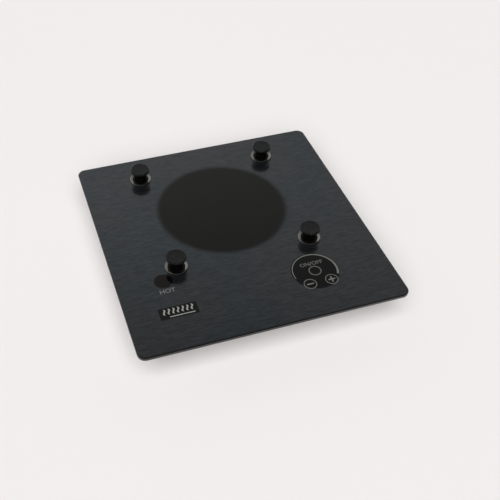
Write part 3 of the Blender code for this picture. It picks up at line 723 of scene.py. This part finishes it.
def wave(name, centre):
    """One bold rising wave of heat."""
    steps = 24
    half_height, swing, half_line = 4.1 * MM, 0.9 * MM, 0.95 * MM
    left, right = [], []
    for i in range(steps + 1):
        t = 2 * i / steps - 1
        x = swing * math.sin(math.pi * t)
        taper = half_line * math.sqrt(max(0.08, 1 - t**6))
        left.append(centre + Vector((x - taper, half_height * t)))
        right.append(centre + Vector((x + taper, half_height * t)))
    flat_mark(name, right + left[::-1], PALE_INK, BADGE_PRINT_LOW)


def rim_seal():
    """Foam strip under the rim, with rounded edges."""
    low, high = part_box("rim_gasket")
    width = 12 * MM
    height = high.z - low.z
    corner, inner_corner = 7.5 * MM, 1 * MM
    under, over = 0.6 * MM, 0.3 * MM  # edge rounding at the bottom and the top
    corners = ((0, 0, under), (0, height, over), (width, height, over), (width, 0, under))
    section = closed_soften(corners, 5)
    loops = []
    for inset, rise in section:
        a = (low.x + inset, low.y + inset)
        b = (high.x - inset, high.y - inset)
        outline = rounded_rectangle(a, b, max(corner - inset, inner_corner))
        loops.append([Vector((p.x, p.y, low.z + rise)) for p in outline])
    stand_in(lofted("rim_seal", loops, [FOAM], ring=True), "root", "rim_gasket")


# ---- Posts ----


def at_height(profile, base):
    """Millimetre (radius, height) points as metres, standing on base."""
    return [(u * MM, base + v * MM) for u, v in profile]


def thread_shape(pitch, depth, low, high):
    """Radius of a helical thread between two heights, for turned_loops."""

    def shape(angle, radius, z):
        if not low < z < high:
            return radius
        phase = (z / pitch - angle / (2 * math.pi)) % 1
        fade = min(1, (z - low) / pitch, (high - z) / pitch)
        return radius - depth * fade * abs(2 * phase - 1)

    return shape


def threaded_profile(points, low, high, radius, pitch):
    """A turned profile whose stretch between low and high has loops close enough for a thread."""
    count = int((high - low) / pitch * 6)
    thread = [(radius, low + (high - low) * i / count) for i in range(count + 1)]
    return [*[p for p in points if p[1] < low], *thread, *[p for p in points if p[1] > high]]


def posts():
    """Silicone cap on a black neck darkened as painted shade under the cap, in a chrome collar whose black
    floor is painted shade and painted reflection of the cap.
    """
    cap = soften(
        ((3.3, 14.1, 0), (11.4, 14.1, 0.1), (11.5, 16.1, 0.5), (10.7, 16.9, 0.7), (9.7, 16.9, 0.4),
         (9.0, 16.6, 0.5), (3, 16.5, 0)),
        6,
    )  # fmt: skip
    neck = closed_soften(
        ((3.3, 14.0, 0.1), (3.3, 1.8, 0.1), (7.2, 1.8, 0.4), (7.2, 8.2, 1.5), (8.5, 11.0, 1.5),
         (10.9, 13.2, 0.6), (11.4, 14.0, 0.1)),
        5,
    )  # fmt: skip
    collar = closed_soften(
        ((13.2, 0.3, 0.1), (13.2, 1.3, 0.5), (12.8, 2.2, 0.4), (12.2, 2.3, 0.3), (10.5, 1.6, 0.4),
         (9.9, 1.3, 0.2), (9.9, 0.3, 0.1)),
        5,
    )  # fmt: skip
    # Black ring on the collar's floor: painted shade and painted reflection of the cap above it.
    under_cap_shade = closed_soften(
        ((9.6, 0.3, 0.1), (9.6, 1.1, 0.3), (7.6, 1.2, 0.4), (6.0, 0.9, 0.4), (5.3, 1.4, 0.2),
         (5.3, 0.3, 0.1)),
        4,
    )  # fmt: skip
    for post in POSTS:
        centre = middle(f"post_socket_{post}").to_2d()
        body = f"post_{post}"
        head, ring = f"post_head_{post}", f"post_collar_{post}"
        # (name, profile, material, ring, segments, body, node)
        on_glass = (
            (f"post_cap_{post}", cap, SILICONE, False, ROUND, body, head),
            # The neck is real black rubber, darker than the cap as painted shade under it.
            (f"post_neck_{post}", neck, BLACK_PAINTED_SHADE, True, ROUND, body, head),
            (f"collar_{post}", collar, CHROME, True, 96, "root", ring),
            # The collar's black floor is painted shade and painted reflection of the cap.
            (f"collar_painted_shade_{post}", under_cap_shade, BLACK_PAINTED_SHADE, True, ROUND, "root", ring),
        )
        for name, profile, material, closed, segments, moves_with, node in on_glass:
            stood = at_height(profile, GLASS_TOP)
            piece = turned(name, stood, centre, [material], closed, segments)
            stand_in(piece, moves_with, node)
        stud(post, centre, body)


def stud(post, centre, body):
    """Steel stud with a thread at its foot."""
    low = GLASS_TOP - 13 * MM
    high = GLASS_TOP - 4 * MM
    radius, pitch = 3, 1 * MM
    ends = ((2.2, -14, 0), (2.9, -13.2, 0.2), (radius, -3, 0), (radius, 8.4, 0.4), (2.7, 8.7, 0))
    plain = at_height(soften(ends, 3), GLASS_TOP)
    profile = threaded_profile(plain, low, high, radius * MM, pitch)
    shape = thread_shape(pitch, 0.45 * MM, low, high)
    piece = turned(f"stud_{post}", profile, centre, [STEEL], shape=shape, segments=48)
    stand_in(piece, body, f"post_stud_{post}")


def sockets():
    """Threaded sleeve and hexagonal flange that hold each post under the glass."""
    profile = closed_soften(
        ((3.3, 1.2, 0.1), (5, 1.2, 0.2), (5, -4.3, 0.1), (9, -4.3, 0.3), (9, -6.3, 0.3), (5, -6.3, 0.1),
         (5, -18, 0.4), (3.3, -18, 0.3)),
        3,
    )  # fmt: skip
    sleeve = at_height(profile, GLASS_TOP)
    flange = hexagon_beyond(5.2 * MM)
    for post in POSTS:
        node = f"post_socket_{post}"
        piece = turned(f"socket_{post}", sleeve, middle(node), [STEEL], ring=True, shape=flange)
        stand_in(piece, "root", node)


# ---- Pan and service entry ----


def pan_loop(grow, z):
    """The pan's outline moved out by grow, at height z."""
    low = (PAN_LOW.x - grow, PAN_LOW.y - grow)
    high = (PAN_HIGH.x + grow, PAN_HIGH.y + grow)
    return [Vector((p.x, p.y, z)) for p in rounded_rectangle(low, high, PAN_CORNER + grow, 8)]


def stadium(centre, width, height):
    """A slot outline with round ends."""
    half = Vector((width / 2, height / 2))
    return rounded_rectangle(Vector(centre) - half, Vector(centre) + half, min(half) * 0.98, 6)


def pan():
    """Pressed pan with rounded bends, stiffening grooves, vents and board pillars."""
    turns = [math.radians(90 * i / 6) for i in range(7)]
    inside = [(BEND * math.sin(a) - SHEET - BEND, SHEET + BEND - BEND * math.cos(a)) for a in turns]
    outside = [(BEND * math.sin(a) - BEND, BEND - BEND * math.cos(a)) for a in reversed(turns)]
    rim = [(-SHEET, PAN_HIGH.z), (0, PAN_HIGH.z)]
    shell = lofted("pan", [pan_loop(grow, z) for grow, z in inside + rim + outside], [ZINC])
    carve(shell, pan_cutters())
    carve(shell, board_pillars(), "UNION")
    stand_in(shell, "root", "chassis_pan")


def pan_cutters():
    """Vents in the floor and back wall, grooves under the floor, the service window and screw holes."""
    back_wall = (PAN_HIGH.y - 4 * MM, PAN_HIGH.y + 2 * MM)
    vent_pitch = 12
    cutters = []
    for x in range(-104, 6, vent_pitch):
        vent = stadium((x * MM, -88 * MM), 4 * MM, 34 * MM)
        cutters.append(extruded("vent", vent, "z", -1.5 * MM, 2.5 * MM))
    for x in range(-28, 110, vent_pitch):
        vent = stadium((x * MM, 30 * MM), 5 * MM, 20 * MM)
        cutters.append(extruded("back_vent", vent, "y", *back_wall))
    for y in (-20, 30, 80):
        groove = stadium((0, y * MM), 190 * MM, 6 * MM)
        cutters.append(extruded("groove", groove, "z", -1 * MM, 0.45 * MM))
    half_window = Vector((25, 13.5)) * MM
    window = rounded_rectangle(ENTRY - half_window, ENTRY + half_window, 3 * MM, 5)
    cutters.append(extruded("window", window, "y", *back_wall))
    for place in COVER_SCREW_PLACES:
        cutters.append(extruded("screw_hole", stadium(place, SCREW_HOLE, SCREW_HOLE), "y", *back_wall))
    for side, sign in SIDES.items():
        centre = middle(f"clamp_lock_screw_{side}")
        hole = stadium((centre.y, centre.z), LOCK_HOLE, LOCK_HOLE)
        inside, outside = sign * 120 * MM, sign * 140 * MM
        cutters.append(extruded("lock_hole", hole, "x", inside, outside))
    return cutters


def board_pillars():
    """Pillars under the corners of the power board."""
    low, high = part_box("power_board")
    inset = 5 * MM
    profile = soften(((3.5, 0.5, 0), (3.5, 1.2, 0.6), (2.8, 1.6, 0.5), (2.8, 8.7, 0.3), (1.2, 8.7, 0)), 3)
    pillar = at_height(profile, 0)
    spots = [(x, y) for x in (low.x + inset, high.x - inset) for y in (low.y + inset, high.y - inset)]
    return [turned("pillar", pillar, spot, [ZINC], segments=24) for spot in spots]


def mounting_ring():
    """Flange ring that the glass sits on."""
    low, high = (corner.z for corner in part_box("mounting_frame"))
    # (distance out from the pan's outline in millimetres, share of the ring's thickness)
    section = ((-1, 0), (-1, 0.85), (-0.85, 1), (6.85, 1), (7, 0.85), (7, 0.15), (6.85, 0))
    loops = [pan_loop(grow * MM, low + rise * (high - low)) for grow, rise in section]
    stand_in(lofted("mounting_ring", loops, [ZINC], ring=True), "root", "mounting_frame")


def screw(name, node, profile, axis, place, recess):
    """A turned screw with a cross recess: its head points along axis and sits on place."""
    piece = turned(name, at_height(profile, 0), (0, 0), [STEEL], segments=32)
    top = max(z for _, z in profile) * MM
    narrow = 0.28 * recess
    arms = []
    for width, depth in ((recess, narrow), (narrow, recess)):
        half = Vector((width, depth)) / 2
        outline = rounded_rectangle(-half, half, 0.1 * MM, 2)
        arms.append(extruded("arm", outline, "z", top - 1.1 * MM, top + 1 * MM))
    carve(piece, arms)
    turn_to(piece, axis, place)
    stand_in(piece, "root", node)


def service_entry():
    """Cover plate over the window in the back wall, with its screws."""
    low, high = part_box("service_cover")
    through = (low.y - 1 * MM, high.y + 1 * MM)
    outline = rounded_rectangle((low.x, low.z), (high.x, high.z), 3 * MM, 6)
    plate = extruded("cover_plate", outline, "y", low.y, high.y, [ZINC], 0.3 * MM)
    gland_hole = 18.6 * MM
    holes = [extruded("hole", stadium(ENTRY, gland_hole, gland_hole), "y", *through)]
    for place in COVER_SCREW_PLACES:
        holes.append(extruded("hole", stadium(place, SCREW_HOLE, SCREW_HOLE), "y", *through))
    stand_in(carve(plate, holes), "root", "service_cover")

    head = 2.1
    profile = soften(
        ((0.6, -8, 0), (1.5, -7, 0.2), (1.5, 0, 0), (3, 0, 0.1), (3, 1.0, 0.5), (1.6, head, 0.8),
         (0.3, head, 0)),
        4,
    )  # fmt: skip
    for side in SIDES:
        node = f"cover_screw_{side}"
        centre, top = middle(node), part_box(node)[1].y
        under_head = Vector((centre.x, top - head * MM, centre.z))
        screw(f"cover_bolt_{side}", node, profile, (0, 1, 0), under_head, 3 * MM)


def gland():
    """Cable gland with a ribbed dome and hexagonal flange, and the nut behind the wall."""
    centre = middle("cable_gland")
    bore, foot, dome_top = 5.5, -11, 11.5
    profile = closed_soften(
        ((bore, foot, 0.3), (9, foot, 0.5), (9, 0, 0), (13, 0, 0.3), (13, 4, 0.5), (9.6, 4.6, 0.3),
         (9.4, 9.4, 0.5), (8, dome_top, 1), (6, dome_top, 0.5), (bore, 10.5, 0.3)),
        4,
    )  # fmt: skip

    def shape(angle, radius, z):
        if radius > 9.8 * MM:
            return hexagon(angle, radius)
        ribbed = 4.8 * MM < z < 9.6 * MM and radius > 9 * MM
        return radius - ribs(angle, 24, 0.35 * MM) if ribbed else radius

    def moulding(name, node, outline, y, **options):
        piece = turned(name, at_height(outline, 0), (0, 0), [BLACK_PLASTIC], ring=True, **options)
        turn_to(piece, (0, 1, 0), Vector((centre.x, y, centre.z)))
        stand_in(piece, "root", node)

    outer_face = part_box("cable_gland")[1].y - dome_top * MM
    moulding("gland_body", "cable_gland", profile, outer_face, segments=96, shape=shape)
    low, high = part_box("gland_nut")
    thick = (high.y - low.y) / MM
    ring = closed_soften(((9.3, 0, 0.2), (12, 0, 0.5), (12, thick, 0.5), (9.3, thick, 0.2)), 3)
    moulding("back_nut", "gland_nut", ring, low.y, shape=hexagon_beyond(9.6 * MM))


# ---- Electronics ----


def moulded(name, centre, size_mm, base, slot, node=None, edge=0.3 * MM):
    """A small body standing at base, rounded in plan and chamfered on top. It may replace a node."""
    width, depth, height = (value * MM for value in size_mm)
    half = Vector((width, depth)) / 2
    outline = rounded_rectangle(Vector(centre) - half, Vector(centre) + half, 2 * edge, 4)
    piece = extruded(name, outline, "z", base, base + height, [SLOT_FINISHES[slot]], edge)
    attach(piece, "root")
    if node:
        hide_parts(node)


def in_place_of(node, slot, edge):
    """A moulded body that fills the node's box."""
    low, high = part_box(node)
    size = (high - low) / MM
    moulded(f"{node}_case", middle(node).to_2d(), size, low.z, slot, node, edge)


def terminal_screws(block, places, top):
    """Slotted screws that stand in a terminal block's ways."""
    head = soften(((1.2, 0, 0), (3.1, 0, 0.2), (3.1, 1.6, 0.5), (0.3, 2.2, 0)), 4)
    half_slit = Vector((0.4, 4)) * MM
    for i, place in enumerate(places):
        piece = turned(f"{block}_screw_{i + 1}", at_height(head, top), place, [STEEL], segments=24)
        slit = rounded_rectangle(place - half_slit, place + half_slit, 0.1 * MM, 2)
        carve(piece, [extruded("slit", slit, "z", top + 1.2 * MM, top + 4 * MM)])
        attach(piece, "root")


def transformer():
    """A stack of thin plates round a wound bobbin."""
    low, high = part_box("transformer")
    centre = middle("transformer")
    stand_in(laminated_core(low, high, centre.y), "root", "transformer")
    coil = winding(Vector((centre.x, centre.y, low.z + 2 * MM)))
    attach(coil, "root")


def laminated_core(low, high, middle_y):
    """Thin plates stacked from front to back."""
    plates, half_depth = 24, 9 * MM
    loops = []
    for i in range(plates):
        y = middle_y - half_depth + 2 * half_depth * i / plates
        # (inset, depth into the plate) in millimetres: a plate with a shallow groove after it
        for inset, shift in ((0.25, 0), (0, 0.2), (0, 0.5), (0.25, 0.7)):
            a = (low.x + inset * MM, low.z + inset * MM)
            b = (high.x - inset * MM, high.z - inset * MM)
            loops.append([Vector((p.x, y + shift * MM, p.y)) for p in rounded_rectangle(a, b, 1 * MM, 3)])
    return lofted("laminated_core", loops, [STEEL])


def winding(foot):
    """The wound bobbin, standing on foot, with a ridge for each row of wire."""
    half, height = Vector((11, 15)) * MM, 18 * MM
    outline = rounded_rectangle(-half, half, 5 * MM, 6)
    rows = 26
    loops = []
    for i in range(rows * 2 + 1):
        ring = inset_outline(outline, 0.7 * MM if i % 2 else 0.3 * MM)
        z = foot.z + 1 * MM + (height - 2 * MM) * i / (rows * 2)
        loops.append([Vector((foot.x + p.x, foot.y + p.y, z)) for p in ring])
    return lofted("transformer_winding", loops, [HEATER])


def electronics():
    """Detail of the parts on both boards and in the supply terminals."""
    in_place_of("relay", "blue_plastic", 0.6 * MM)
    in_place_of("capacitor", "grey_insulation", 0.8 * MM)
    in_place_of("lamp_holder", "black_plastic", 0.5 * MM)
    transformer()
    # (name, place, size, slot, edge) in millimetres
    resistors = [(f"resistor_{i + 1}", (-62 + 8 * i, -110), (4, 1.8, 1.5), "grey_insulation", 0.3)
                 for i in range(6)]  # fmt: skip
    others = (
        ("driver_chip", (-72, -70), (6, 8, 1.6), "black_plastic", 0.3),
        ("fuse_clip", (-72, -96), (5, 16, 5), "white_ceramic", 0.8),
    )
    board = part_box("power_board")[1].z
    for name, place, size, slot, edge in (*resistors, *others):
        moulded(name, Vector(place) * MM, size, board, slot, edge=edge * MM)
    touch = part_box("touch_board")[1].z
    pad = Vector(PAD)
    fine_edge = 0.15 * MM
    chip = pad + Vector((0, 17)) * MM
    moulded("touch_chip", chip, (7, 7, 1), touch, "black_plastic", edge=fine_edge)
    for i in range(7):
        spot = pad + Vector(((i - 3) * 5, 10)) * MM
        moulded(f"touch_part_{i + 1}", spot, (2, 1.2, 0.8), touch, "grey_insulation", edge=fine_edge)
    block = middle("supply_terminal_block").to_2d()
    pitch, seat = 13 * MM, 8 * MM
    ways = [block + Vector((way * pitch, 0)) for way in (-1, 0, 1)]
    terminal_screws("supply", ways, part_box("supply_terminal_block")[0].z + seat)


# ---- Worktop clamps ----


def clamp(side):
    """Bracket, thumb screw, foot and lock screw of one side."""
    axis = middle(f"clamp_thumb_screw_{side}")
    bracket(side, axis)
    thumb_screw(side, axis)
    clamp_foot(side, axis)
    lock_screw(side)


def bracket(side, axis):
    """Bent angle with a weld nut, and a slot that slides on the lock screw."""
    sign = SIDES[side]
    low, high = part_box(f"clamp_bracket_{side}")
    inner, outer = sorted((abs(low.x), abs(high.x)))
    wall = inner + CLAMP_SHEET
    leg = low.z + CLAMP_SHEET
    corners = (
        (inner, low.z, 2.2 * MM), (outer, low.z, 0.3 * MM), (outer, leg, 0.3 * MM), (wall, leg, 0.7 * MM),
        (wall, high.z, 0.3 * MM), (inner, high.z, 0.3 * MM),
    )  # fmt: skip
    outline = [Vector((sign * p.x, p.y)) for p in closed_soften(corners, 4)]
    if sign < 0:
        outline.reverse()
    angle = extruded(f"bracket_{side}", outline, "y", low.y, high.y, [ZINC])

    nut_top = leg + CLAMP_NUT_HEIGHT
    nut_radius = 5.2 * MM
    profile = [(nut_radius, leg - 0.5 * MM), (nut_radius, nut_top - 0.5 * MM), (4.8 * MM, nut_top)]
    nut = turned("nut", profile, axis, [ZINC], segments=24, shape=hexagon_beyond(0))
    carve(angle, [nut], "UNION")

    lock = middle(f"clamp_lock_screw_{side}")
    reach = sorted((sign * (inner - 1 * MM), sign * (inner + 4 * MM)))
    slot = stadium((lock.y, lock.z - CLAMP_TRAVEL / 2), LOCK_HOLE, LOCK_HOLE + CLAMP_TRAVEL)
    hole = 2.8 * MM
    ends = [(hole, low.z - 2 * MM), (hole, nut_top + 1 * MM)]
    bore = turned("bore", ends, axis, [ZINC], segments=32)
    carve(angle, [bore, extruded("slot", slot, "x", *reach)])
    stand_in(angle, f"bracket_{side}", f"clamp_bracket_{side}")


def clamp_foot(side, axis):
    """Nylon shoe over the tip of the thumb screw."""
    profile = closed_soften(
        ((5.5, 20.9, 0.3), (5.5, 25.2, 0.8), (4.4, 26, 0.5), (1, 26, 0.2), (1, 25, 0.1), (2.8, 24.8, 0.1),
         (2.8, 20.9, 0.2)),
        4,
    )  # fmt: skip
    shoe = turned(f"foot_{side}", at_height(profile, 0), axis, [NYLON], ring=True)
    stand_in(shoe, f"foot_{side}", f"clamp_foot_{side}")


def lock_screw(side):
    """Screw through the pan's side wall that the bracket slides on."""
    sign = SIDES[side]
    node = f"clamp_lock_screw_{side}"
    far = max(abs(corner.x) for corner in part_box(node))
    centre = middle(node)
    head = 2.2
    profile = soften(
        ((0.7, -7, 0), (2, -6, 0.2), (2, 0, 0), (4.1, 0, 0.1), (4.1, 0.9, 0.3), (3.3, 1.0, 0.1),
         (3.2, 1.5, 0.3), (1.8, head, 0.6), (0.3, head, 0)),
        4,
    )  # fmt: skip
    under_head = Vector((sign * (far - head * MM), centre.y, centre.z))
    screw(f"lock_bolt_{side}", node, profile, (sign, 0, 0), under_head, 3.4 * MM)


def thumb_screw(side, axis):
    """Knurled head on a threaded shank."""
    low, high = 8.5 * MM, 23.5 * MM
    pitch = 0.8 * MM
    ends = ((2, 1, 0), (4.8, 1, 0.3), (5.5, 1.7, 0.3), (5.5, 6.3, 0.3), (4.8, 7, 0.2), (2.5, 7, 0.2),
            (2.5, 24, 0.2), (2, 24.5, 0))  # fmt: skip
    profile = threaded_profile(at_height(soften(ends, 3), 0), low, high, 2.5 * MM, pitch)
    thread = thread_shape(pitch, 0.35 * MM, low, high)

    def shape(angle, radius, z):
        if radius > 5.3 * MM:
            return radius - ribs(angle, 32, 0.3 * MM)
        return thread(angle, radius, z)

    piece = turned(f"thumb_screw_{side}", profile, axis, [STEEL], segments=96, shape=shape)
    stand_in(piece, f"screw_{side}", f"clamp_thumb_screw_{side}")


# ---- Camera and light ----

CAMERA_FROM_TOP = Vector((-243.7, -655.2, 643.3)) * MM  # from the middle of the glass's top face
CAMERA_AZIMUTH = 18.72  # degrees from +Y towards +X
CAMERA_DROP = 44.86  # degrees below level
CAMERA_ROLL = 0.95  # degrees
CAMERA_LENS = 58.28  # on a 36 mm sensor
CAMERA_SHIFT = (0.0723, 0.0179)
KEY_LIGHT_FROM = Vector((-0.6, -1.5, 1.9))
KEY_LIGHT_STRENGTH = 3.95
KEY_LIGHT_SPREAD = 55  # degrees

# How the surround's strength changes with direction: (axis, its value from and to, strength at each)
SURROUND_FADES = (
    ("Z", 0.62, 0.86, 0.30, 0.058),
    ("Y", -0.45, 0.45, 0.14, 1.0),
    ("X", 0.0, 0.6, 1.0, 0.68),
)
SURROUND_SEEN = 0.87  # strength where the camera looks straight at it, as pale as the floor


def camera():
    """Looks down at the plate over its front left corner."""
    data = bpy.data.cameras.new("camera")
    data.sensor_width = 36
    data.lens = CAMERA_LENS
    data.shift_x, data.shift_y = CAMERA_SHIFT
    data.clip_start = 0.01
    data.clip_end = 50
    made = show("camera", data)
    azimuth, drop = math.radians(CAMERA_AZIMUTH), math.radians(CAMERA_DROP)
    level, down = math.cos(drop), -math.sin(drop)
    ahead = Vector((math.sin(azimuth) * level, math.cos(azimuth) * level, down))
    upright = ahead.to_track_quat("-Z", "Y").to_matrix()
    roll = Matrix.Rotation(math.radians(CAMERA_ROLL), 3, "Z")
    place = Vector((0, 0, GLASS_TOP)) + CAMERA_FROM_TOP
    made.matrix_world = Matrix.Translation(place) @ (upright @ roll).to_4x4()
    bpy.context.scene.camera = made


def key_light():
    """Broad soft light from the front left, kept out of reflections."""
    data = bpy.data.lights.new("key", "SUN")
    data.energy = KEY_LIGHT_STRENGTH
    data.angle = math.radians(KEY_LIGHT_SPREAD)
    sun = show("key", data)
    sun.location = KEY_LIGHT_FROM
    aim = Vector((0, 0, GLASS_TOP)) - KEY_LIGHT_FROM
    sun.rotation_euler = aim.to_track_quat("-Z", "Y").to_euler()
    sun.visible_glossy = False


def surround():
    """Grey surround: brightest low at the back left, which the glass mirrors, and dark at the front."""
    world = bpy.data.worlds.new("surround")
    world.use_nodes = True
    nodes = Nodes(world.node_tree)
    direction = nodes.node("ShaderNodeTexCoord", {}, "Generated")
    strength = 1.0
    for axis, *fade in SURROUND_FADES:
        along = nodes.node("ShaderNodeSeparateXYZ", {"Vector": direction}, axis)
        strength = nodes.maths("MULTIPLY", nodes.remap(along, *fade), strength)
    straight = nodes.node("ShaderNodeLightPath", {}, "Is Camera Ray")
    shown = nodes.maths("MAXIMUM", strength, nodes.maths("MULTIPLY", straight, SURROUND_SEEN))
    background = world.node_tree.nodes["Background"]
    nodes.feed(background.inputs["Strength"], shown)
    background.inputs["Color"].default_value = rgb(0.99, 0.995, 1.0)
    bpy.context.scene.world = world


def studio():
    """Pale floor and light."""
    mesh = bmesh.new()
    bmesh.ops.create_grid(mesh, x_segments=1, y_segments=1, size=6)
    floor = finish_mesh("floor", mesh, [floor_finish()])
    surround()
    key_light()
    bpy.context.scene.view_settings.view_transform = "Standard"


# ---- Order of work ----

dress_frame()
glass_top()
controls()
hot_word()
badge()
rim_seal()
posts()
sockets()
pan()
mounting_ring()
service_entry()
gland()
electronics()
for clamp_side in SIDES:
    clamp(clamp_side)
camera()
studio()
